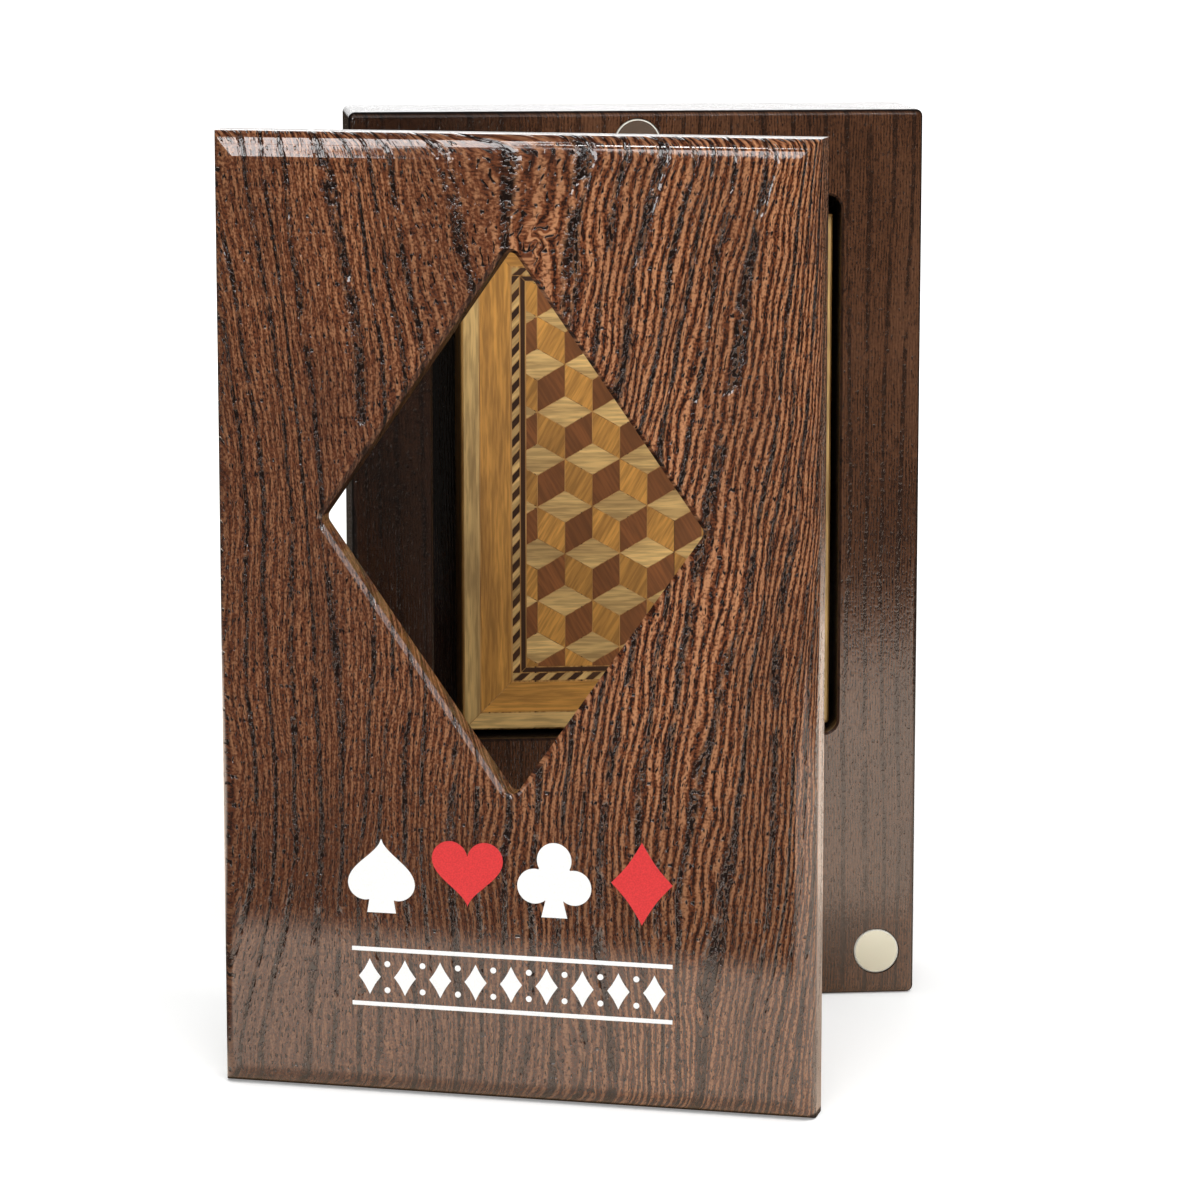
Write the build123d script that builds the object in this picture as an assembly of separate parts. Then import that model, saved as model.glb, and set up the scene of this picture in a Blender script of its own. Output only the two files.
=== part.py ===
"""Two-part wooden case for one boxed deck of playing cards.

The case stands upright. The base block holds the boxed deck in a routed pocket, and the lid
panel, which has a diamond window, is taken off and stands in front of it, turned a little.
Shut, three magnets in each half meet and hold the lid flush on the base.

Millimetres, +Z up, front of the case towards -Y. The origin is the middle of the base's foot.
"""
import math
import os

from build123d import *

# Cards
card_width = 63.0
card_height = 88.0
card_thickness = 0.28
card_gap = 0.01
card_corner_radius = 3.5
card_corner_chords = 6
suits = ("spades", "diamonds", "clubs", "hearts")
cards_per_suit = 13
jokers = 2

# Tuck box, one folded sheet of board, and the room that the cards have in it
board = 0.45
box_fold_radius = 0.8
flap_gap = 0.15
tongue_length = 14.0
dust_flap_length = 12.0
card_side_room = 0.8
card_head_room = 1.49
card_front_room = 0.19

# Room round the tuck box in the pocket
box_left_gap = 5.3
box_right_gap = 0.8
box_foot_gap = 0.7
box_head_gap = 3.7
box_back_gap = 0.3
box_front_gap = 4.7

# Base block: the wood left round the pocket
side_wall = 14.2
top_wall = 14.8
foot_wall = 47.8
back_wall = 2.5
base_edge_round = 1.2
pocket_corner_radius = 2.5
pocket_rim_chamfer = 0.4

# Lid, as wide and high as the base, with a shallow recess opposite the pocket
lid_depth = 8.5
lid_front_round = 4.0
lid_back_chamfer = 0.5
lid_recess_depth = 4.0
shut_gap = 0.3

# Diamond window in the lid, on the pocket's centre
window_width = 64.0
window_height = 90.0
window_corner_radius = 1.5
window_bevel = 0.7

# Disc magnets, three in each half
magnet_diameter = 8.0
magnet_thickness = 3.0
magnet_edge_chamfer = 0.25
magnet_glue_gap = 0.15
magnet_sink = 0.05
magnet_side_inset = 6.8
magnet_foot_inset = 7.8
magnet_top_inset = 5.4

# Where the lid stands: its back face's middle, from the middle of the base's front face
lid_forward = 57.5
lid_left = 24.8
lid_turn_deg = 19.6

# The deck sets the tuck box's size, the tuck box the pocket's, and the pocket the case's
card_pitch = card_thickness + card_gap
stack_depth = (len(suits) * cards_per_suit + jokers) * card_pitch
box_width = card_width + 2 * card_side_room + 2 * board
box_height = card_height + card_gap + card_head_room + flap_gap + 3 * board
box_depth = stack_depth + card_front_room + 2 * flap_gap + 3 * board
pocket_width = box_left_gap + box_width + box_right_gap
pocket_height = box_foot_gap + box_height + box_head_gap
pocket_depth = box_front_gap + box_depth + box_back_gap
case_width = pocket_width + 2 * side_wall
case_height = foot_wall + pocket_height + top_wall
base_depth = pocket_depth + back_wall
base_front = -base_depth / 2
pocket_centre_z = foot_wall + pocket_height / 2


def rounded_slot(width, height, radius, depth):
    """A block with rounded corners seen from the front, from y = 0 back to y = depth."""
    outline = RectangleRounded(width, height, min(radius, 0.45 * width, 0.45 * height))
    return Rot(90, 0, 0) * extrude(outline, -depth)


def magnet_places():
    """Name and (x, z) of each magnet, the same in both halves."""
    side = case_width / 2 - magnet_side_inset
    return {
        "top": (0.0, case_height - magnet_top_inset),
        "left": (-side, magnet_foot_inset),
        "right": (side, magnet_foot_inset),
    }


def disc(diameter, thickness):
    """A disc whose axis is Y, from y = 0 back to y = thickness."""
    return Rot(90, 0, 0) * extrude(Circle(diameter / 2), -thickness)


def magnet_bores():
    """The three bores, opening at y = 0 and going back."""
    bore = disc(magnet_diameter + 2 * magnet_glue_gap, magnet_sink + magnet_thickness)
    return [Pos(x, 0, z) * bore for x, z in magnet_places().values()]


def magnet():
    """One magnet with its softened rims, its working face at y = magnet_sink."""
    body = Pos(0, magnet_sink, 0) * disc(magnet_diameter, magnet_thickness)
    rims = body.edges().filter_by(GeomType.CIRCLE)
    return chamfer(rims, min(magnet_edge_chamfer, 0.3 * magnet_thickness))


def base_block():
    """Block with the deck's pocket and the magnet bores in its front face."""
    block = Pos(0, 0, case_height / 2) * Box(case_width, base_depth, case_height)
    block = fillet(block.edges(), base_edge_round)
    to_front = Pos(0, base_front, 0)
    pocket = rounded_slot(pocket_width, pocket_height, pocket_corner_radius, pocket_depth)
    block -= to_front * Pos(0, 0, pocket_centre_z) * pocket
    rim = [e for e in block.edges()
           if abs(e.bounding_box().min.Y - base_front) < 1e-4
           and abs(e.bounding_box().max.Y - base_front) < 1e-4
           and max(abs(e.center().X) - pocket_width / 2,
                   abs(e.center().Z - pocket_centre_z) - pocket_height / 2) < 1e-3]
    block = chamfer(rim, pocket_rim_chamfer)
    for bore in magnet_bores():
        block -= to_front * bore
    return block


def diamond(width, height, radius, depth):
    """The window's opening, from y = 0 back to y = depth."""
    outline = Polygon((0, height / 2), (-width / 2, 0), (0, -height / 2), (width / 2, 0), align=None)
    outline = fillet(outline.vertices(), radius)
    return Rot(90, 0, 0) * extrude(outline, -depth)


def lid_panel():
    """Lid in its own frame: back face at y = 0, front face at y = -lid_depth, foot at z = 0."""
    panel = Pos(0, -lid_depth / 2, case_height / 2) * Box(case_width, lid_depth, case_height)
    front = panel.faces().sort_by(Axis.Y)[0]
    panel = fillet(front.edges(), min(lid_front_round, 0.8 * lid_depth))
    back = panel.faces().sort_by(Axis.Y)[-1]
    panel = chamfer(back.edges(), lid_back_chamfer)
    to_window = Pos(0, 0, pocket_centre_z)
    recess = rounded_slot(pocket_width, pocket_height, pocket_corner_radius, lid_recess_depth)
    panel -= to_window * Pos(0, -lid_recess_depth, 0) * recess
    opening = diamond(window_width, window_height, window_corner_radius, lid_depth)
    panel -= to_window * Pos(0, -lid_depth, 0) * opening
    bevelled = [e for e in panel.edges()
                if abs(e.bounding_box().min.Y + lid_depth) < 1e-4
                and abs(e.bounding_box().max.Y + lid_depth) < 1e-4
                and abs(e.center().X) < window_width / 2 + 1
                and abs(e.center().Z - pocket_centre_z) < window_height / 2 + 1]
    panel = chamfer(bevelled, window_bevel)
    for bore in magnet_bores():
        panel -= Rot(0, 0, 180) * bore
    return panel


def lid_place():
    """Where the lid's frame stands at rest."""
    return Location((-lid_left, base_front - lid_forward, 0), (0, 0, -lid_turn_deg))


def swing_axis():
    """The upright line about which the standing lid turns to lie shut on the base."""
    turn = math.radians(-lid_turn_deg)
    dx, dy = -lid_left, -lid_forward + shut_gap
    a, b = 1 - math.cos(turn), math.sin(turn)
    scale = a * a + b * b
    x = (a * dx - b * dy) / scale
    y = (b * dx + a * dy) / scale
    return x, base_front - shut_gap + y


def tuck_box():
    """Folded carton with its flap tucked in, foot at z = 0, front at y = 0, middle at x = 0."""
    depth_middle = box_depth / 2
    outer = RectangleRounded(box_width, box_depth, min(box_fold_radius, 0.4 * box_depth))
    inner = RectangleRounded(box_width - 2 * board, box_depth - 2 * board,
                             max(box_fold_radius - board, 0.1))
    wall_top = box_height - board - flap_gap
    carton = Pos(0, depth_middle, 0) * extrude(outer - inner, wall_top)
    carton += Pos(0, depth_middle, 0) * extrude(outer, board)
    carton = fillet(carton.faces().sort_by(Axis.Z)[0].edges(), box_fold_radius - 0.1)
    flap = Pos(0, depth_middle, box_height - board) * extrude(outer, board)
    crease = Pos(0, box_depth - board / 2, wall_top) * Box(
        box_width - 2 * box_fold_radius, board, flap_gap + board / 2,
        align=(Align.CENTER, Align.CENTER, Align.MIN))
    tongue = Pos(0, board + flap_gap + board / 2, box_height - board / 2) * Box(
        box_width - 2 * board - 2 * flap_gap, board, tongue_length,
        align=(Align.CENTER, Align.CENTER, Align.MAX))
    carton += [flap, crease, tongue]
    dust_depth = box_depth - 3 * board - 3 * flap_gap
    for side in (-1, 1):
        edge = side * (box_width / 2 - board / 2)
        dust = Box(dust_flap_length, dust_depth, board,
                   align=(Align.MIN if side < 0 else Align.MAX, Align.MIN, Align.MAX))
        carton += Pos(edge, 2 * board + 2 * flap_gap, wall_top) * dust
    return carton


def box_place():
    """Where the tuck box's frame lies in the pocket."""
    x = pocket_width / 2 - box_right_gap - box_width / 2
    return Pos(x, base_front + box_front_gap, foot_wall + box_foot_gap)


def card():
    """One card, its face at y = 0, its foot at z = 0. Chords round its corners, as there are 54."""
    reach_x = card_width / 2 - card_corner_radius
    reach_z = card_height / 2 - card_corner_radius
    points = []
    for quarter, (side, end) in enumerate(((1, 1), (-1, 1), (-1, -1), (1, -1))):
        for step in range(card_corner_chords + 1):
            angle = math.radians(90 * (quarter + step / card_corner_chords))
            points.append((side * reach_x + card_corner_radius * math.cos(angle),
                           end * reach_z + card_corner_radius * math.sin(angle)))
    outline = Polygon(*points, align=None)
    return Pos(0, 0, card_height / 2) * Rot(90, 0, 0) * extrude(outline, -card_thickness)


def card_groups():
    """The stack in the order of a new deck, one group for each suit and one for the jokers."""
    order = [("jokers", jokers)] + [("cards_" + suit, cards_per_suit) for suit in suits]
    y = box_depth - board - flap_gap - stack_depth
    foot = board + card_gap
    groups = {}
    for name, count in order:
        groups[name] = Compound([Pos(0, y + card_pitch * i, foot) * card() for i in range(count)])
        y += card_pitch * count
    return groups


def save(shape, name):
    export_step(shape, "parts/" + name + ".step")


os.makedirs("parts", exist_ok=True)

save(base_block(), "base_block")
save(lid_place() * lid_panel(), "lid_panel")
for name, (x, z) in magnet_places().items():
    save(Pos(x, base_front, z) * magnet(), "base_magnet_" + name)
    save(lid_place() * Pos(x, 0, z) * Rot(0, 0, 180) * magnet(), "lid_magnet_" + name)
save(box_place() * tuck_box(), "tuck_box")
for name, group in card_groups().items():
    save(box_place() * group, name)

axis_x, axis_y = swing_axis()
print(f"swing axis at x {axis_x:.3f}, y {axis_y:.3f}")
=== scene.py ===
"""Looks of the playing card case: lacquered wood, magnets, printed deck box, floor, light, camera.

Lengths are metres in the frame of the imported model, unless a comment says millimetres. The lid's
own frame has its origin at the middle of the lid's foot, on its back face, with X along the lid
and its front towards -Y.
"""
import math
import random
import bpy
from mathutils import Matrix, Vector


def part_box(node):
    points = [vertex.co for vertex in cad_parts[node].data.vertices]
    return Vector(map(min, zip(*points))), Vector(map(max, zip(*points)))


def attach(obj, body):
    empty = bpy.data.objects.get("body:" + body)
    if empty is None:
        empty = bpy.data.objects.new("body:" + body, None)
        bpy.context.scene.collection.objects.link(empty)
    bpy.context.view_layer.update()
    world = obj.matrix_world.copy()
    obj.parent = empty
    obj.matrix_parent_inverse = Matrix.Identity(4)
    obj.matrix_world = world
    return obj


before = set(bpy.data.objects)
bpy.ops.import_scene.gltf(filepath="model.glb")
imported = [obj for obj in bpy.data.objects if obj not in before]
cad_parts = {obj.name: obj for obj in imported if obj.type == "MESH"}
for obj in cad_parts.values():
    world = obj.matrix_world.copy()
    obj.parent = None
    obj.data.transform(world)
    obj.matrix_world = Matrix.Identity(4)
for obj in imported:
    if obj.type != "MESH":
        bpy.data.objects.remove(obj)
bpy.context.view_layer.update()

from types import SimpleNamespace

import bmesh
import bpy
from mathutils import Matrix, Quaternion, Vector

MM = 0.001

# Where the camera stood, measured from the middle of the base's foot
CAMERA_PLACE = Vector((-83.95, -789.2, 201.9)) * MM
CAMERA_YAW_DEG = 5.69
CAMERA_PITCH_DEG = 9.42
CAMERA_LENS = 135.0
SENSOR_WIDTH = 36.0
CLIP_NEAR, CLIP_FAR = 0.05, 50.0

# The lid at rest, as in the part's source
LID_TURN = math.radians(-19.6)
LID_LEFT = 24.8 * MM
LID_FORWARD = 57.5 * MM
LID_DEPTH = 8.5 * MM

# The pocket in the base, in millimetres. Its black reaches a little past its walls to hold them
POCKET_WIDTH = 71.6
POCKET_HEIGHT = 95.4
POCKET_MIDDLE_Z = 95.5
POCKET_BACK_Y = 10.0
PAST_WALL = 0.1
PAST_BACK = 1.0

# The lid's grain, in millimetres. The knot and the plainer patch near the top are each given by x,
# how far below the top the middle lies, and the squares of the half breadth and half length
KNOT = (4.5, 17.0, 12.0, 26.0)
KNOT_BEND = 6.0
PLAIN_PATCH = (-7.0, 13.0, 36.0, 90.0)
PARTING = 11.5
PARTING_REACH = 28.0
GRAIN_LEAN = 0.05

# The print on the lid, in millimetres
ORNAMENT_WIDTH = 54.0
PIP_PITCH = 14.6
PIP_ROW_Z = 38.0
BORDER_Z = 20.0
BORDER_HALF_HEIGHT = 4.6
RULE_BREADTH = 0.7
LOZENGES = 9
DOT_RADIUS, DOT_RISE = 0.5, 2.2
LID_PRINT_RAISE, DECK_PRINT_RAISE, PRINT_SINK = 0.06, 0.05, 0.02

# The inlay printed on the deck, in millimetres. Each inset is measured in from the margin
INLAY_MARGIN = 0.35
OUTER_BREADTH = 2.8
PLANK_INSET, PLANK_BREADTH = 2.9, 5.4
ROPE_INSET, ROPE_BREADTH, ROPE_PITCH = 8.5, 1.4, 1.6
LINE_INSET, LINE_BREADTH = 10.0, 0.9
CUBES_INSET, CUBE_EDGE = 11.0, 5.6
VENEER_JOINT = 0.06
VENEER_SEED = 5
SHADE_RANGE, CUT_RANGE = (0.82, 1.1), (0.0, 40.0)

# The planks printed on the tuck box, in millimetres
BOARD_PLANK = 8.2

# The floor, which shows white to the camera. Its glow rises behind the case, over a stretch of y
FLOOR_REACH = 8.0
FLOOR_DROP = 0.0001
FLOOR_GLOW = 0.27
FAR_GLOW = 3 * FLOOR_GLOW
FAR_STRETCH = (0.1, 1.5)

# White patches on the floor as reflections see it. Each pair is where an edge starts and ends. A
# slant is how far an edge gives way for each metre of x. Past dim a patch falls to dim_share
PATCH_SEAM = (0.0, 0.06)
LEFT_PATCH = SimpleNamespace(side=(-0.20, -0.15), front=(-0.199, -0.175), front_slant=0.214,
                             dim=(-0.096, -0.088), dim_slant=0.356, dim_share=0.45,
                             back=(-0.06, -0.03))
RIGHT_PATCH = SimpleNamespace(side=(0.28, 0.36), front=(-0.40, -0.36), dim=(-0.09, -0.065),
                              dim_share=0.55)
BACK_PATCH = SimpleNamespace(side=(0.25, 0.35), front=(0.02, 0.10), back=(0.25, 0.35))
REFLECTED_GLOW, REFLECTED_LEAST = 0.6, 0.03

# The world's light, and the dark room that reflections see. It opens to white away from its front
WORLD_LIGHT = 0.55
ROOM_LIGHT = 0.015
ROOM_FRONT = (-0.15, -0.97, 0.1)
ROOM_OPENING = (-0.96, -0.84)

BASE_LOW, BASE_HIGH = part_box("base_block")
BOX_LOW, BOX_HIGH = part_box("tuck_box")
BASE_FRONT = BASE_LOW.y / MM
CASE_HEIGHT = BASE_HIGH.z - BASE_LOW.z
LID_ORIGIN = Vector((-LID_LEFT, BASE_LOW.y - LID_FORWARD, 0.0))
LID_FRAME = Matrix.Translation(LID_ORIGIN) @ Matrix.Rotation(LID_TURN, 4, "Z")


def srgb(red, green, blue):
    """A colour as a screen shows it, 0 to 255, to the linear values that nodes take."""
    def linear(value):
        value /= 255
        return value / 12.92 if value <= 0.04045 else ((value + 0.055) / 1.055) ** 2.4
    return (linear(red), linear(green), linear(blue), 1.0)


WHITE, BLACK = (1.0, 1.0, 1.0, 1.0), (0.0, 0.0, 0.0, 1.0)
FLOOR_PAINT = (0.93, 0.93, 0.92, 1.0)
WARM_REFLECTION = (1.0, 0.55, 0.2, 1.0)
HONEY, TAN = srgb(216, 154, 70), srgb(236, 194, 122)
BROWN, WALNUT = srgb(144, 86, 42), srgb(56, 34, 20)

# Colours of the lid's stained grain, and painted shade for its left, its window's top walls and its
# foot
LID_STAIN_AND_SHADE = SimpleNamespace(
    gap=srgb(36, 11, 3), flank=srgb(121, 66, 38), crest=srgb(194, 135, 94),
    grit=srgb(54, 31, 21), low=srgb(52, 28, 17), cloud=srgb(70, 40, 27), left=srgb(60, 33, 23),
    ring=srgb(40, 17, 8), pore=srgb(20, 6, 2), window_top_shade=srgb(12, 7, 5), foot=srgb(10, 8, 8))
# Colours of the base's stained grain, and painted shade for its left and, in part, its pocket
BASE_STAIN_AND_SHADE = SimpleNamespace(
    gap=srgb(32, 12, 4), crest=srgb(104, 67, 44), dark_cloud=srgb(46, 25, 14),
    pale_cloud=srgb(122, 84, 60), ring=srgb(36, 18, 10), pore=srgb(24, 12, 6),
    left=(0.06, 0.04, 0.03, 1.0), pocket=srgb(10, 8, 8), edge=srgb(14, 12, 12))


class Field:
    """One output of a node, a value that varies over a surface. Each sum with it adds a node."""

    def __init__(self, graph, socket):
        self.graph = graph
        self.socket = socket

    def __add__(self, other):
        return self.graph.math("ADD", self, other)

    def __radd__(self, other):
        return self.graph.math("ADD", other, self)

    def __sub__(self, other):
        return self.graph.math("SUBTRACT", self, other)

    def __rsub__(self, other):
        return self.graph.math("SUBTRACT", other, self)

    def __mul__(self, other):
        return self.graph.math("MULTIPLY", self, other)

    def __truediv__(self, other):
        return self.graph.math("DIVIDE", self, other)

    def __rtruediv__(self, other):
        return self.graph.math("DIVIDE", other, self)

    def __pow__(self, other):
        return self.graph.math("POWER", self, other)

    def __abs__(self):
        return self.graph.math("ABSOLUTE", self)

    def larger(self, other):
        return self.graph.math("MAXIMUM", self, other)

    def below(self, limit):
        """1 where this value is below the limit, and 0 elsewhere."""
        return self.graph.math("LESS_THAN", self, limit)

    def eased(self, low, high, to_low=0.0, to_high=1.0):
        """From to_low, where this value is low or less, to to_high, where it is high or more."""
        return self.graph.output(
            "ShaderNodeMapRange", "Result",
            {"Value": self, "From Min": low, "From Max": high, "To Min": to_low, "To Max": to_high},
            interpolation_type="SMOOTHSTEP")


class Graph:
    """The nodes of one material or world."""

    def __init__(self, tree):
        self.tree = tree
        tree.nodes.clear()

    def node(self, kind, inputs, **settings):
        """A new node. inputs gives a number, a colour or a field to sockets by name or index."""
        made = self.tree.nodes.new(kind)
        for name, value in settings.items():
            setattr(made, name, value)
        for name, value in dict(inputs).items():
            if isinstance(value, Field):
                self.tree.links.new(value.socket, made.inputs[name])
            else:
                made.inputs[name].default_value = value
        return made

    def output(self, kind, name, inputs=(), **settings):
        """One output of a new node, as a field."""
        return Field(self, self.node(kind, inputs, **settings).outputs[name])

    def math(self, operation, *values):
        return self.output("ShaderNodeMath", 0, enumerate(values), operation=operation)

    def split(self, vector):
        made = self.node("ShaderNodeSeparateXYZ", {"Vector": vector})
        return [Field(self, socket) for socket in made.outputs]

    def noise(self, x, y, z, detail=0.0):
        """Smooth noise about 0.5, with one feature to each unit."""
        vector = self.output("ShaderNodeCombineXYZ", 0, {"X": x, "Y": y, "Z": z})
        return self.output("ShaderNodeTexNoise", "Fac",
                           {"Vector": vector, "Scale": 1.0, "Detail": detail, "Roughness": 0.5})

    def mix(self, share, under, over, blend="MIX"):
        """A colour with another over it, by a share from 0 to 1."""
        share_socket, under_socket, over_socket, colour_output = 0, 6, 7, 2
        return self.output("ShaderNodeMix", colour_output,
                           {share_socket: share, under_socket: under, over_socket: over},
                           data_type="RGBA", blend_type=blend)

    def layers(self, colour, *coats):
        """A colour with coats laid over it in turn, each a share and a colour."""
        for share, over in coats:
            colour = self.mix(share, colour, over)
        return colour

    def bump(self, height, millimetres):
        """Relief that stands that far out where the height is 1."""
        return self.output("ShaderNodeBump", 0,
                           {"Height": height, "Distance": millimetres * MM, "Strength": 1.0})

    def surface(self, **sockets):
        """A Principled shader with these sockets, as what the material shows."""
        shader = self.output("ShaderNodeBsdfPrincipled", 0,
                             {name.replace("_", " "): value for name, value in sockets.items()})
        self.node("ShaderNodeOutputMaterial", {"Surface": shader})


def material(name):
    made = bpy.data.materials.new(name)
    made.use_nodes = True
    return made, Graph(made.node_tree)


def add_to_scene(name, data):
    obj = bpy.data.objects.new(name, data)
    bpy.context.scene.collection.objects.link(obj)
    return obj


def place_mm(graph, origin=(0.0, 0.0, 0.0), turn=0.0):
    """x, y, z of a point in millimetres, in a frame at that origin turned about Z."""
    mapped = graph.output("ShaderNodeMapping", 0,
                          {"Vector": graph.output("ShaderNodeTexCoord", "Object"),
                           "Location": origin, "Rotation": (0.0, 0.0, turn), "Scale": (MM, MM, MM)},
                          vector_type="TEXTURE")
    return graph.split(mapped)


def own_normal(graph):
    """Which way the surface faces, as x, y, z in the object's own frame."""
    return graph.split(graph.output("ShaderNodeTexCoord", "Normal"))


def patch_on_lid(x, up, middle_x, below_top, breadth_squared, length_squared):
    """1 in the middle of a patch, falling to a half at its half breadth and its half length."""
    across = x - middle_x
    along = up - (CASE_HEIGHT / MM - below_top)
    return 1.0 / (1.0 + across * across / breadth_squared + along * along / length_squared)


def wood_grain(graph, across, depth, up, ring, fibre, wander, seed, ripple):
    """Layers of stained, open-pored wood whose grain runs along up, as fields from 0 to 1.

    ring and fibre are the pitches of the growth rings and the fibres in millimetres. wander and
    ripple are shares: how far the lines stray, and how high the fibres stand. Each noise divides
    a place by the length of one feature, and takes a slice of its own, counted from the seed.
    """
    slow = graph.noise(across / 22, depth / 22 + seed, up / 55)
    quick = graph.noise(across / 5, depth / 7 + (seed + 7), up / 13)
    line = (across + depth * 0.8
            + (slow - 0.5) * (9.0 * wander) + (quick - 0.5) * (1.6 * wander))

    # Growth rings: a chain of pores at the start of each, broken up along its length
    jitter = graph.noise(line / 9, seed + 13, up / 120)
    phase = graph.math("FRACT", line / ring + jitter * 2.0)
    runs = graph.noise(line / 2.6, seed + 21, up / 7, detail=2.0)
    early = abs(phase - 0.5).eased(0.34, 0.45) * runs.eased(0.36, 0.48)

    # Fibres: long fine ridges with narrow gaps, beaded along their length
    sway = graph.noise(line / 2.4, seed + 3, up / 8, detail=1.0)
    wave = graph.math("SINE", (line + sway * (1.3 * fibre)) * (2 * math.pi / fibre))
    grit = graph.noise(line / 0.3, seed + 27, up / 0.5, detail=2.0)
    thread = graph.noise(line / 0.34, seed + 31, up / 2.4, detail=2.0)
    ridge = (wave * ripple * 0.7 + (grit - 0.5) * 2.6 + (thread - 0.5) * 3.0).eased(-1.5, 1.4)

    # Pores: many in the chains, and a few astray
    dots = graph.noise(line / 0.45, seed + 41, up / 1.2, detail=2.0)
    strays = graph.noise(line / 0.28, seed + 51, up / 1.2)
    pore = (early * dots.eased(0.46, 0.54)).larger(strays.eased(0.64, 0.72))

    tone = graph.noise(across / 14, depth / 14 + (seed + 61), up / 34, detail=2.0)
    return SimpleNamespace(ridge=ridge, grit=grit, early=early, pore=pore, tone=tone)


def lacquered_wood(graph, body, coat, coat_roughness, coat_ior, relief, film_relief):
    """Dull stained wood under clear gloss. The coat may be left thin in places."""
    graph.surface(Base_Color=body, Roughness=0.6, Specular_IOR_Level=0.05, Coat_Weight=coat,
                  Coat_Roughness=coat_roughness, Coat_IOR=coat_ior, Normal=relief,
                  Coat_Normal=film_relief)


def lid_coordinates(graph):
    """Where a point lies across the lid's lines, which part as they rise, then x, depth and up."""
    x, depth, up = place_mm(graph, LID_ORIGIN, LID_TURN)
    side = x * (2 / PARTING_REACH) / (1.0 + x * x / PARTING_REACH ** 2)
    spread = (up / (CASE_HEIGHT / MM)) ** 3.0 * PARTING
    parted = x - side * spread - up * GRAIN_LEAN
    # A small knot above the window ruffles the lines round it
    knot = patch_on_lid(x, up, *KNOT)
    ruffle = graph.noise(x / 3.2, 5.0, up / 3.6, detail=1.0)
    return parted + knot * knot * (ruffle - 0.5) * KNOT_BEND, x, depth, up


def lid_wood():
    """Ridged on the right, where the lines lean out, and plainer and darker towards the left."""
    made, graph = material("lid_wood_lacquered")
    across, x, depth, up = lid_coordinates(graph)
    ripple = x.eased(-34.0, 12.0, 0.5, 1.1) * (1.0 - patch_on_lid(x, up, *PLAIN_PATCH))
    grain = wood_grain(graph, across, depth, up, ring=4.3, fibre=1.22, wander=1.0, seed=2.0,
                       ripple=ripple)
    facing_down = 0.0 - graph.split(graph.output("ShaderNodeNewGeometry", "Normal"))[2]
    above_foot = up.eased(30.0, 45.0)
    # Painted shadow: a dark line along the lid's lowest millimetre, where it meets the floor
    foot_shadow_line = up.eased(0.6, 1.1, 1.0, 0.0)
    body = graph.layers(
        LID_STAIN_AND_SHADE.gap,
        (grain.ridge.eased(0.08, 0.45), LID_STAIN_AND_SHADE.flank),
        (grain.ridge.eased(0.42, 0.92), LID_STAIN_AND_SHADE.crest),
        (grain.grit.eased(0.3, 0.55, 0.55, 0.0), LID_STAIN_AND_SHADE.grit),
        (up.eased(22.0, 75.0, 0.45, 0.0), LID_STAIN_AND_SHADE.low),
        (grain.tone.eased(0.35, 0.62, 0.35, 0.0), LID_STAIN_AND_SHADE.cloud),
        # Painted shade, darker towards the left and less so near the top
        (x.eased(-42.0, 32.0, 0.45, 0.0) * up.eased(110.0, 145.0, 1.0, 0.5), LID_STAIN_AND_SHADE.left),
        (grain.early * 0.7, LID_STAIN_AND_SHADE.ring),
        (grain.pore * 0.97, LID_STAIN_AND_SHADE.pore),
        # Painted shade on the window's walls that face down
        (facing_down.eased(0.3, 0.5) * above_foot * 0.75, LID_STAIN_AND_SHADE.window_top_shade),
        (foot_shadow_line * 0.9, LID_STAIN_AND_SHADE.foot))
    dull = (facing_down.eased(0.15, 0.45) * above_foot).larger(foot_shadow_line)
    relief = grain.ridge * 0.6 + grain.grit * 0.5 - grain.pore
    film = grain.ridge * 0.02 - grain.pore
    lacquered_wood(graph, body, coat=1.0 - dull * 0.9, coat_roughness=0.06, coat_ior=1.8,
                   relief=graph.bump(relief, 0.3), film_relief=graph.bump(film, 0.13))
    return made


def inside_pocket(x, y, z):
    """1 in the base's pocket, walls included, and 0 elsewhere."""
    inside = y.eased(BASE_FRONT + 0.5, BASE_FRONT + 1.6) * y.below(POCKET_BACK_Y + PAST_BACK)
    for value, middle, size in ((x, 0.0, POCKET_WIDTH), (z, POCKET_MIDDLE_Z, POCKET_HEIGHT)):
        inside = inside * abs(value - middle).below(size / 2 + PAST_WALL)
    return inside


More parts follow.
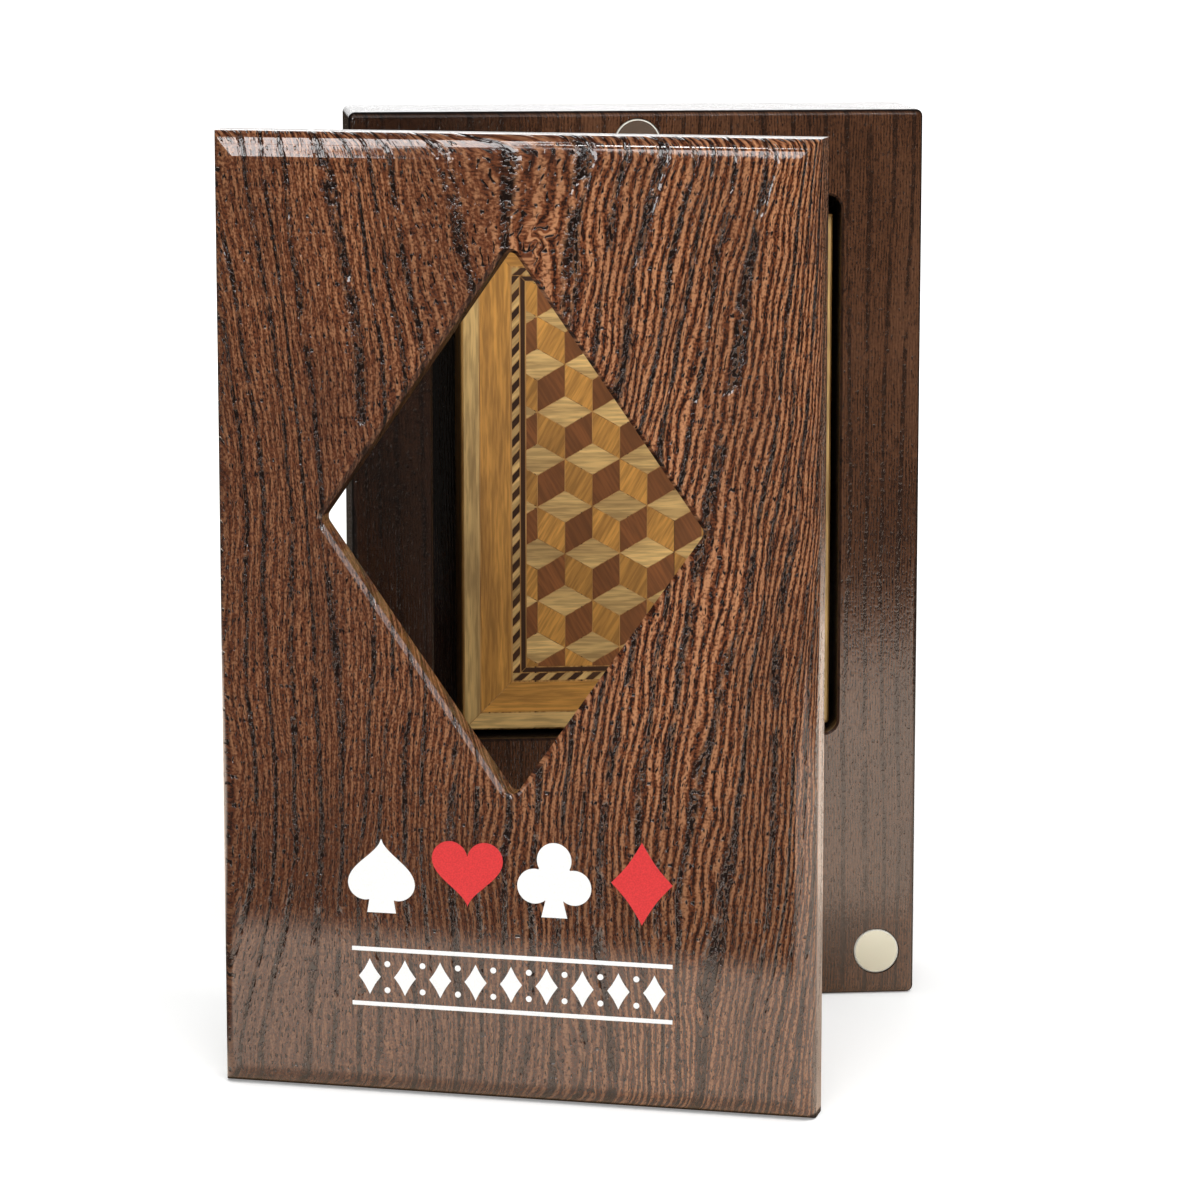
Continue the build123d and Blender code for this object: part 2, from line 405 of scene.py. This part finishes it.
def base_wood():
    """Darker and finer than the lid, with a dark line round its front and a black pocket."""
    made, graph = material("base_wood_lacquered")
    x, y, z = place_mm(graph)
    grain = wood_grain(graph, x, y, z, ring=3.4, fibre=0.5, wander=0.35, seed=90.0, ripple=0.5)
    normal_x, normal_y, normal_z = own_normal(graph)
    # The front's rounding: its top edge is rubbed thin, and the colour is darker all round it
    rubbed = normal_y.eased(-0.3, -0.15, 0.9, 0.0) * normal_z.eased(0.15, 0.3)
    outward = abs(normal_x).larger(abs(normal_z))
    edge = (normal_y.eased(-0.8, -0.65) * normal_y.eased(-0.15, -0.05, 1.0, 0.0)
            * outward.eased(0.3, 0.5))
    body = graph.layers(
        BASE_STAIN_AND_SHADE.gap,
        (grain.ridge, BASE_STAIN_AND_SHADE.crest),
        (grain.tone.eased(0.35, 0.55, 0.45, 0.0), BASE_STAIN_AND_SHADE.dark_cloud),
        (grain.tone.eased(0.5, 0.75, 0.0, 0.3), BASE_STAIN_AND_SHADE.pale_cloud),
        (grain.early * 0.55, BASE_STAIN_AND_SHADE.ring),
        (grain.pore * 0.6, BASE_STAIN_AND_SHADE.pore))
    # Painted shade: the lid's shadow darkens the front towards the left
    body = graph.mix(x.eased(-38.0, -8.0, 0.7, 0.0), body, BASE_STAIN_AND_SHADE.left, blend="MULTIPLY")
    # The pocket is black, partly as a dark lining and partly as painted shade
    body = graph.layers(body, (inside_pocket(x, y, z), BASE_STAIN_AND_SHADE.pocket),
                        (edge * 0.85, BASE_STAIN_AND_SHADE.edge))
    relief = grain.ridge * 0.5 - grain.pore * 0.6
    lacquered_wood(graph, body, coat=1.0 - rubbed.larger(edge * 0.8), coat_roughness=0.08,
                   coat_ior=1.88, relief=graph.bump(relief, 0.1),
                   film_relief=graph.bump(relief, 0.03))
    return made


def nickel():
    """Mirror-like on the flat faces, which show what lies before them, and satin on the rims."""
    made, graph = material("nickel_plate")
    x, y, z = place_mm(graph)
    cloud = graph.noise(x * 0.5, y * 0.5, z * 0.5, detail=3.0)
    rub = graph.noise(x * 9.0, y * 9.0, z * 2.0, detail=2.0)
    flat = abs(own_normal(graph)[1]).eased(0.905, 0.935)
    face = graph.mix(cloud, srgb(236, 250, 240), srgb(244, 254, 248))
    graph.surface(Base_Color=graph.mix(flat, srgb(250, 247, 234), face), Metallic=flat * 0.97,
                  Roughness=rub.eased(0.2, 0.8, 0.12, 0.22), Normal=graph.bump(rub, 0.01))
    return made


def printed_board():
    """The tuck box, printed all over as planks of honey-coloured wood."""
    made, graph = material("printed_board")
    x, y, z = place_mm(graph)
    plank = graph.math("FRACT", (x + y * 0.9) / BOARD_PLANK)
    streak = graph.noise((x + y) / 0.8, 4.0, z / 14, detail=3.0)
    body = graph.layers(srgb(133, 88, 42), (streak.eased(0.3, 0.7), srgb(206, 156, 88)),
                        (abs(plank - 0.5).eased(0.47, 0.495), srgb(62, 38, 20)))
    graph.surface(Base_Color=body, Roughness=0.38, Normal=graph.bump(streak, 0.01))
    return made


def speckled(name, colour, other, pitch, sharpness, roughness):
    """A plain finish with fine specks between two colours, in very low relief."""
    made, graph = material(name)
    x, y, z = place_mm(graph)
    speck = graph.noise(x * pitch, y * pitch, z * pitch, detail=2.0)
    share = speck if sharpness is None else speck.eased(*sharpness)
    graph.surface(Base_Color=graph.mix(share, colour, other), Roughness=roughness,
                  Normal=graph.bump(speck, 0.01))
    return made


def card_stock():
    return speckled("card_stock", srgb(232, 228, 218), srgb(244, 241, 234), pitch=2.5,
                    sharpness=None, roughness=0.5)


def print_ink(name, shade, colour):
    return speckled(name, shade, colour, pitch=4.0, sharpness=(0.3, 0.7), roughness=0.35)


def paint_nodes():
    looks = {"lid_panel": lid_wood(), "base_block": base_wood(), "tuck_box": printed_board()}
    metal, stock = nickel(), card_stock()
    for name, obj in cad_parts.items():
        look = looks.get(name) or (metal if "magnet" in name else stock)
        obj.data.materials.clear()
        obj.data.materials.append(look)


def sides(points):
    """Each point of an outline with the next."""
    return zip(points, points[1:] + points[:1])


def union(parts, turns=96):
    """The outline round shapes that all hold the origin, as far out as any of them goes."""
    points = []
    for index in range(turns):
        angle = 2 * math.pi * index / turns
        ray = Vector((math.sin(angle), math.cos(angle)))
        reach = 0.0
        for part in parts:
            for start, end in sides(part):
                edge = end - start
                crossing = ray.cross(edge)
                if abs(crossing) > 1e-9:
                    far, along = start.cross(edge) / crossing, start.cross(ray) / crossing
                    if far > 0 and 0 <= along <= 1:
                        reach = max(reach, far)
        points.append(ray * reach)
    return points


def circle(radius, middle=(0.0, 0.0), turns=48):
    angles = [2 * math.pi * index / turns for index in range(turns)]
    return [Vector(middle) + radius * Vector((math.sin(angle), math.cos(angle)))
            for angle in angles]


def heart(width, upright=1, turns=60):
    """A heart about its middle, upside down where upright is -1. Its curve is 32 units wide."""
    points = []
    for index in range(turns):
        angle = 2 * math.pi * index / turns
        x = 16 * math.sin(angle) ** 3
        y = (13 * math.cos(angle) - 5 * math.cos(2 * angle) - 2 * math.cos(3 * angle)
             - math.cos(4 * angle) + 2.5)
        points.append(Vector((x, y * upright)) * width / 32)
    return points


def stem(height, spread):
    """The foot of a spade or a club, down from the middle."""
    right = [(0.4, 0.5), (0.55, -0.45 * height), (spread / 2, -height)]
    left = [(-x, y) for x, y in reversed(right)]
    return [Vector(point) for point in right + left]


def lozenge(width, height, hollow, steps=8):
    """A lozenge whose sides curve in, half-way along them by the share that hollow says."""
    corners = [Vector(corner) for corner in ((0, height / 2), (width / 2, 0), (0, -height / 2),
                                             (-width / 2, 0))]
    points = []
    for start, end in sides(corners):
        for share in (index / steps for index in range(steps)):
            points.append(start.lerp(end, share) * (1 - hollow * math.sin(math.pi * share)))
    return points


def rectangle(half_width, half_height):
    return [Vector(corner) for corner in ((-half_width, -half_height), (half_width, -half_height),
                                          (half_width, half_height), (-half_width, half_height))]


def add_prisms(name, shapes, place, front, back):
    """One object of flat prisms from y front to y back.

    Each shape is an outline and the x and z of its middle, all in millimetres.
    """
    made = bmesh.new()
    for points, (x, z) in shapes:
        near, far = ([made.verts.new(((x + point.x) * MM, y * MM, (z + point.y) * MM))
                      for point in points] for y in (front, back))
        made.faces.new(near)
        made.faces.new(reversed(far))
        for (near_start, near_end), (far_start, far_end) in zip(sides(near), sides(far)):
            made.faces.new((near_end, near_start, far_start, far_end))
    bmesh.ops.recalc_face_normals(made, faces=made.faces)
    mesh = bpy.data.meshes.new(name)
    made.to_mesh(mesh)
    made.free()
    obj = add_to_scene(name, mesh)
    obj.matrix_world = place
    return obj


def suit_pips():
    """The outlines of the four suits: spade, heart, club and diamond."""
    spade = union([heart(width=11.4, upright=-1), stem(height=7.2, spread=5.2)])
    lobes = [circle(2.9, middle) for middle in ((0.0, 3.1), (-3.3, -1.3), (3.3, -1.3))]
    club = union(lobes + [circle(1.5), stem(height=6.4, spread=5.2)])
    return spade, heart(width=12.0), club, lozenge(width=10.2, height=13.6, hollow=0.09)


def border_shapes():
    """Two rules with a row of lozenges between them, and pairs of dots between the lozenges."""
    pitch = ORNAMENT_WIDTH / LOZENGES
    shapes = [(rectangle(ORNAMENT_WIDTH / 2, RULE_BREADTH / 2), (0.0, BORDER_Z + offset))
              for offset in (-BORDER_HALF_HEIGHT, BORDER_HALF_HEIGHT)]
    for index in range(LOZENGES):
        x = pitch * (index - (LOZENGES - 1) / 2)
        shapes.append((lozenge(width=0.62 * pitch, height=6.0, hollow=0.08), (x, BORDER_Z)))
    for index in range(LOZENGES - 1):
        x = pitch * (index - (LOZENGES - 2) / 2)
        for rise in (-DOT_RISE, DOT_RISE):
            shapes.append((circle(DOT_RADIUS, turns=16), (x, BORDER_Z + rise)))
    return shapes


def add_lid_ornament():
    """Four card suits in a row over a border of lozenges, printed on the lid's front."""
    spade, red_heart, club, diamond = [(points, (PIP_PITCH * (index - 1.5), PIP_ROW_Z))
                                       for index, points in enumerate(suit_pips())]
    white = [spade, club] + border_shapes()
    white_ink = print_ink("ink_white", srgb(242, 242, 240), srgb(252, 252, 250))
    red_ink = print_ink("ink_red", srgb(206, 40, 44), srgb(226, 52, 52))
    surface = -LID_DEPTH / MM
    for name, shapes, ink in (("lid_print_white", white, white_ink),
                              ("lid_print_red", [red_heart, diamond], red_ink)):
        obj = add_prisms(name, shapes, LID_FRAME, surface - LID_PRINT_RAISE, surface + PRINT_SINK)
        obj.data.materials.append(ink)
        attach(obj, "lid")


def clipped(points, low, high):
    """The part of a convex outline inside a rectangle, or nothing."""
    for axis in (0, 1):
        for bound, sign in ((low[axis], 1), (high[axis], -1)):
            kept = []
            for start, end in sides(points):
                inside_start = sign * (start[axis] - bound)
                inside_end = sign * (end[axis] - bound)
                if inside_start >= 0:
                    kept.append(start)
                if inside_start * inside_end < 0:
                    kept.append(start.lerp(end, inside_start / (inside_start - inside_end)))
            points = kept
            if len(points) < 3:
                return []
    return points


def shrunk(points, gap):
    """A convex outline drawn in by a gap all round, for the joint between pieces of veneer."""
    moved = []
    for index, here in enumerate(points):
        before, after = points[index - 1], points[(index + 1) % len(points)]
        first, second = (here - before).normalized(), (after - here).normalized()
        inward = second - first
        if inward.length < 1e-6:
            moved.append(here)
            continue
        # A sharp corner moves further in than a blunt one, up to a limit
        half = math.sqrt(max((1 + first.dot(second)) / 2, 0.05))
        moved.append(here + inward.normalized() * gap / half)
    return moved


def mitred_strips(half_width, half_height, breadth, tone):
    """Four strips round a rectangle, each as its outline, tone and grain direction in degrees."""
    outer = rectangle(half_width, half_height)
    inner = rectangle(half_width - breadth, half_height - breadth)
    return [([outer_start, outer_end, inner_end, inner_start], tone, 90.0 * (index % 2))
            for index, ((outer_start, outer_end), (inner_start, inner_end))
            in enumerate(zip(sides(outer), sides(inner)))]


def rope_stringing(half_width, half_height, breadth, pitch):
    """A rope of slanting light and dark pieces round a rectangle."""
    cells = []
    for upright, length, reach in ((False, half_width, half_height),
                                   (True, half_height, half_width)):
        count = 2 * round(length / pitch)
        step = 2 * length / count
        limit = length - breadth if upright else length
        for low in (-reach, reach - breadth):
            high = low + breadth
            for index in range(-1, count):
                start = -length + index * step
                points = [Vector((start, low)), Vector((start + step, low)),
                          Vector((start + 2 * step, high)), Vector((start + step, high))]
                points = clipped(points, (-limit, low), (limit, high))
                if upright:
                    points = [Vector((point.y, point.x)) for point in reversed(points)]
                if points:
                    cells.append((points, TAN if index % 2 else WALNUT, 45.0))
    return cells


def tumbling_blocks(half_width, half_height, edge):
    """Rhombs in three tones that read as stacked cubes."""
    cells = []
    wide, tall = edge * math.sqrt(3) / 2, edge
    middle, up, down = Vector((0, 0)), Vector((0, tall)), Vector((0, -tall))
    left_up, right_up = Vector((-wide, tall / 2)), Vector((wide, tall / 2))
    left_down, right_down = -right_up, -left_up
    faces = (((middle, right_up, up, left_up), TAN, 0.0),
             ((middle, left_up, left_down, down), HONEY, 60.0),
             ((middle, down, right_down, right_up), BROWN, -60.0))
    rows = int(half_height / (1.5 * tall)) + 2
    columns = int(half_width / (2 * wide)) + 2
    for row in range(-rows, rows + 1):
        for column in range(-columns, columns + 1):
            place = Vector(((2 * column + row % 2) * wide, row * 1.5 * tall))
            for corners, tone, grain in faces:
                points = clipped([place + corner for corner in corners],
                                 (-half_width, -half_height), (half_width, half_height))
                if points:
                    cells.append((points, tone, grain))
    return cells


def marquetry_cells(width, height):
    """From the edge inwards: strips, broad planks, a rope, a dark line and stacked cubes."""
    def inset(distance):
        return width / 2 - INLAY_MARGIN - distance, height / 2 - INLAY_MARGIN - distance

    return (mitred_strips(*inset(0.0), OUTER_BREADTH, TAN)
            + mitred_strips(*inset(PLANK_INSET), PLANK_BREADTH, HONEY)
            + rope_stringing(*inset(ROPE_INSET), ROPE_BREADTH, ROPE_PITCH)
            + mitred_strips(*inset(LINE_INSET), LINE_BREADTH, WALNUT)
            + tumbling_blocks(*inset(CUBES_INSET), CUBE_EDGE))


def veneer():
    """Wood grain and tone from what each cell carries."""
    made, graph = material("deck_print_veneer")
    tone = graph.output("ShaderNodeAttribute", "Color", attribute_name="tone")
    along, across, cut = graph.split(
        graph.output("ShaderNodeAttribute", "Vector", attribute_name="grain_place"))
    streak = graph.noise(along / 6.0, across / 0.5, cut, detail=3.0)
    band = graph.noise(along / 30.0, across / 2.4, cut + 9.0, detail=1.0)
    body = graph.layers(
        tone,
        (streak.eased(0.35, 0.65, 0.5, 0.0), graph.mix(0.75, tone, srgb(52, 30, 14))),
        (band.eased(0.35, 0.65, 0.35, 0.0), srgb(96, 58, 26)))
    graph.surface(Base_Color=body, Roughness=0.4, Normal=graph.bump(streak, 0.015))
    return made


def add_deck_print():
    """A generic inlay pattern on the tuck box's front: plank border, rope stringing, cubes."""
    cells = marquetry_cells((BOX_HIGH.x - BOX_LOW.x) / MM, (BOX_HIGH.z - BOX_LOW.z) / MM)
    middle = (BOX_LOW + BOX_HIGH) / 2
    place = Matrix.Translation((middle.x, BOX_LOW.y, middle.z))
    shapes = [(shrunk(points, VENEER_JOINT), (0.0, 0.0)) for points, _, _ in cells]
    obj = add_prisms("deck_print", shapes, place, -DECK_PRINT_RAISE, PRINT_SINK)
    mesh = obj.data
    tones = mesh.attributes.new("tone", "FLOAT_COLOR", "CORNER")
    places = mesh.attributes.new("grain_place", "FLOAT_VECTOR", "CORNER")
    chance = random.Random(VENEER_SEED)
    faces = iter(mesh.polygons)
    for points, tone, grain in cells:
        sine, cosine = math.sin(math.radians(grain)), math.cos(math.radians(grain))
        shade = chance.uniform(*SHADE_RANGE)
        colour = (tone[0] * shade, tone[1] * shade, tone[2] * shade, 1.0)
        cut = chance.uniform(*CUT_RANGE)
        # A cell is a prism: a face for each side, and its front and back
        for _ in range(len(points) + 2):
            for corner in next(faces).loop_indices:
                at = mesh.vertices[mesh.loops[corner].vertex_index].co / MM
                tones.data[corner].color = colour
                places.data[corner].vector = (at.x * cosine + at.z * sine,
                                              at.z * cosine - at.x * sine, cut)
    mesh.materials.append(veneer())
    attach(obj, "deck")


def add_camera():
    data = bpy.data.cameras.new("camera")
    data.lens = CAMERA_LENS
    data.sensor_width = SENSOR_WIDTH
    data.clip_start, data.clip_end = CLIP_NEAR, CLIP_FAR
    camera = add_to_scene("camera", data)
    yaw, pitch = math.radians(CAMERA_YAW_DEG), math.radians(CAMERA_PITCH_DEG)
    heading = Vector((math.sin(yaw) * math.cos(pitch), math.cos(yaw) * math.cos(pitch),
                      -math.sin(pitch)))
    camera.location = CAMERA_PLACE
    camera.rotation_mode = "QUATERNION"
    camera.rotation_quaternion = heading.to_track_quat("-Z", "Y")
    bpy.context.scene.camera = camera


def reflected_patches(x, y):
    """How white each place on the floor is in reflections, from 0 to 1.

    One patch lies to the left, about the lid, one to the right, before the base, and one behind.
    """
    left, right, back = LEFT_PATCH, RIGHT_PATCH, BACK_PATCH
    past_seam = x.eased(*PATCH_SEAM)
    about_lid = ((1.0 - past_seam)
                 * (y + x * left.front_slant).eased(*left.front)
                 * x.eased(*left.side)
                 * y.eased(*left.back, 1.0, 0.0)
                 * (y + x * left.dim_slant).eased(*left.dim, 1.0, left.dim_share))
    before_base = (past_seam
                   * x.eased(*right.side, 1.0, 0.0)
                   * y.eased(*right.front)
                   * y.eased(*right.dim, 1.0, right.dim_share))
    behind = (y.eased(*back.front)
              * y.eased(*back.back, 1.0, 0.0)
              * abs(x).eased(*back.side, 1.0, 0.0))
    return about_lid + before_base + behind


def add_floor():
    """White floor. In reflections it is white round the case and falls off to a dark room."""
    mesh = bpy.data.meshes.new("floor")
    corners = [(corner.x, corner.y, -FLOOR_DROP) for corner in rectangle(FLOOR_REACH, FLOOR_REACH)]
    mesh.from_pydata(corners, [], [(0, 1, 2, 3)])
    floor = add_to_scene("floor", mesh)
    made, graph = material("floor_white")
    x, y, _ = graph.split(graph.output("ShaderNodeTexCoord", "Object"))
    bright = graph.math("MINIMUM", 1.0, reflected_patches(x, y) + REFLECTED_LEAST)
    seen = graph.output("ShaderNodeLightPath", "Is Camera Ray")
    glossy = graph.output("ShaderNodeLightPath", "Is Glossy Ray")
    graph.surface(
        Base_Color=graph.mix(1.0 + glossy * (bright - 1.0), BLACK, FLOOR_PAINT),
        Roughness=0.9, Specular_IOR_Level=0.0,
        Emission_Color=graph.mix(glossy, WHITE, WARM_REFLECTION),
        Emission_Strength=(seen * y.eased(*FAR_STRETCH, FLOOR_GLOW, FAR_GLOW)
                           + glossy * bright * REFLECTED_GLOW))
    mesh.materials.append(made)


def add_world():
    """Even white light. Reflections see a dark room, which opens to white behind the case."""
    world = bpy.data.worlds.new("studio")
    bpy.context.scene.world = world
    world.use_nodes = True
    graph = Graph(world.node_tree)
    toward_front = graph.output(
        "ShaderNodeVectorMath", "Value",
        {0: graph.output("ShaderNodeTexCoord", "Generated"), 1: ROOM_FRONT},
        operation="DOT_PRODUCT")
    room = toward_front.eased(*ROOM_OPENING, 1.0, ROOM_LIGHT)
    seen = graph.output("ShaderNodeLightPath", "Is Camera Ray")
    glossy = graph.output("ShaderNodeLightPath", "Is Glossy Ray")
    strength = WORLD_LIGHT + seen * (1.0 - WORLD_LIGHT) + glossy * (room - WORLD_LIGHT)
    background = graph.output("ShaderNodeBackground", 0, {"Color": WHITE, "Strength": strength})
    graph.node("ShaderNodeOutputWorld", {"Surface": background})


def add_lamp(name, place, target, size, radiance, lean_deg=0.0, gloss_only=False):
    """A soft rectangular lamp at a place, aimed at a target. It may light gloss alone."""
    data = bpy.data.lights.new(name, "AREA")
    data.shape = "RECTANGLE"
    data.size, data.size_y = size
    data.energy = radiance * math.pi * size[0] * size[1]
    lamp = add_to_scene(name, data)
    lamp.location = place
    lamp.rotation_mode = "QUATERNION"
    aim = (Vector(target) - Vector(place)).to_track_quat("-Z", "Y")
    lamp.rotation_quaternion = aim @ Quaternion((0, 0, 1), math.radians(lean_deg))
    lamp.visible_camera = False
    lamp.visible_diffuse = not gloss_only


def add_light():
    """Three lamps that light everything, and four that only draw highlights on gloss."""
    add_lamp("key", (-0.10, -0.92, 1.05), (0.0, -0.03, 0.08), size=(1.0, 0.8), radiance=4.0)
    add_lamp("spark", (0.35, -0.9, 1.0), (0.0, -0.03, 0.1), size=(0.16, 0.10), radiance=45.0)
    add_lamp("back", (0.12, 1.2, 0.55), (0.0, 0.0, 0.16), size=(1.2, 0.5), radiance=2.0)
    add_lamp("window", (-0.70, -0.58, 0.556), (-0.19, 0.02, 0.126), size=(0.35, 0.87),
             radiance=5.5, lean_deg=9.0, gloss_only=True)
    add_lamp("rim", (0.56, -0.63, 0.65), (-0.045, -0.075, 0.08), size=(0.22, 0.22),
             radiance=1.5, gloss_only=True)
    add_lamp("sky", (-0.404, -0.178, 1.089), (-0.05, -0.06, 0.158), size=(0.13, 0.62),
             radiance=5.5, lean_deg=48.5, gloss_only=True)
    add_lamp("strip", (-0.293, -0.223, 1.10), (0.0, -0.08, 0.155), size=(0.09, 0.07),
             radiance=16.0, gloss_only=True)


paint_nodes()
add_lid_ornament()
add_deck_print()
add_camera()
add_floor()
add_world()
add_light()
bpy.context.scene.view_settings.view_transform = "Standard"
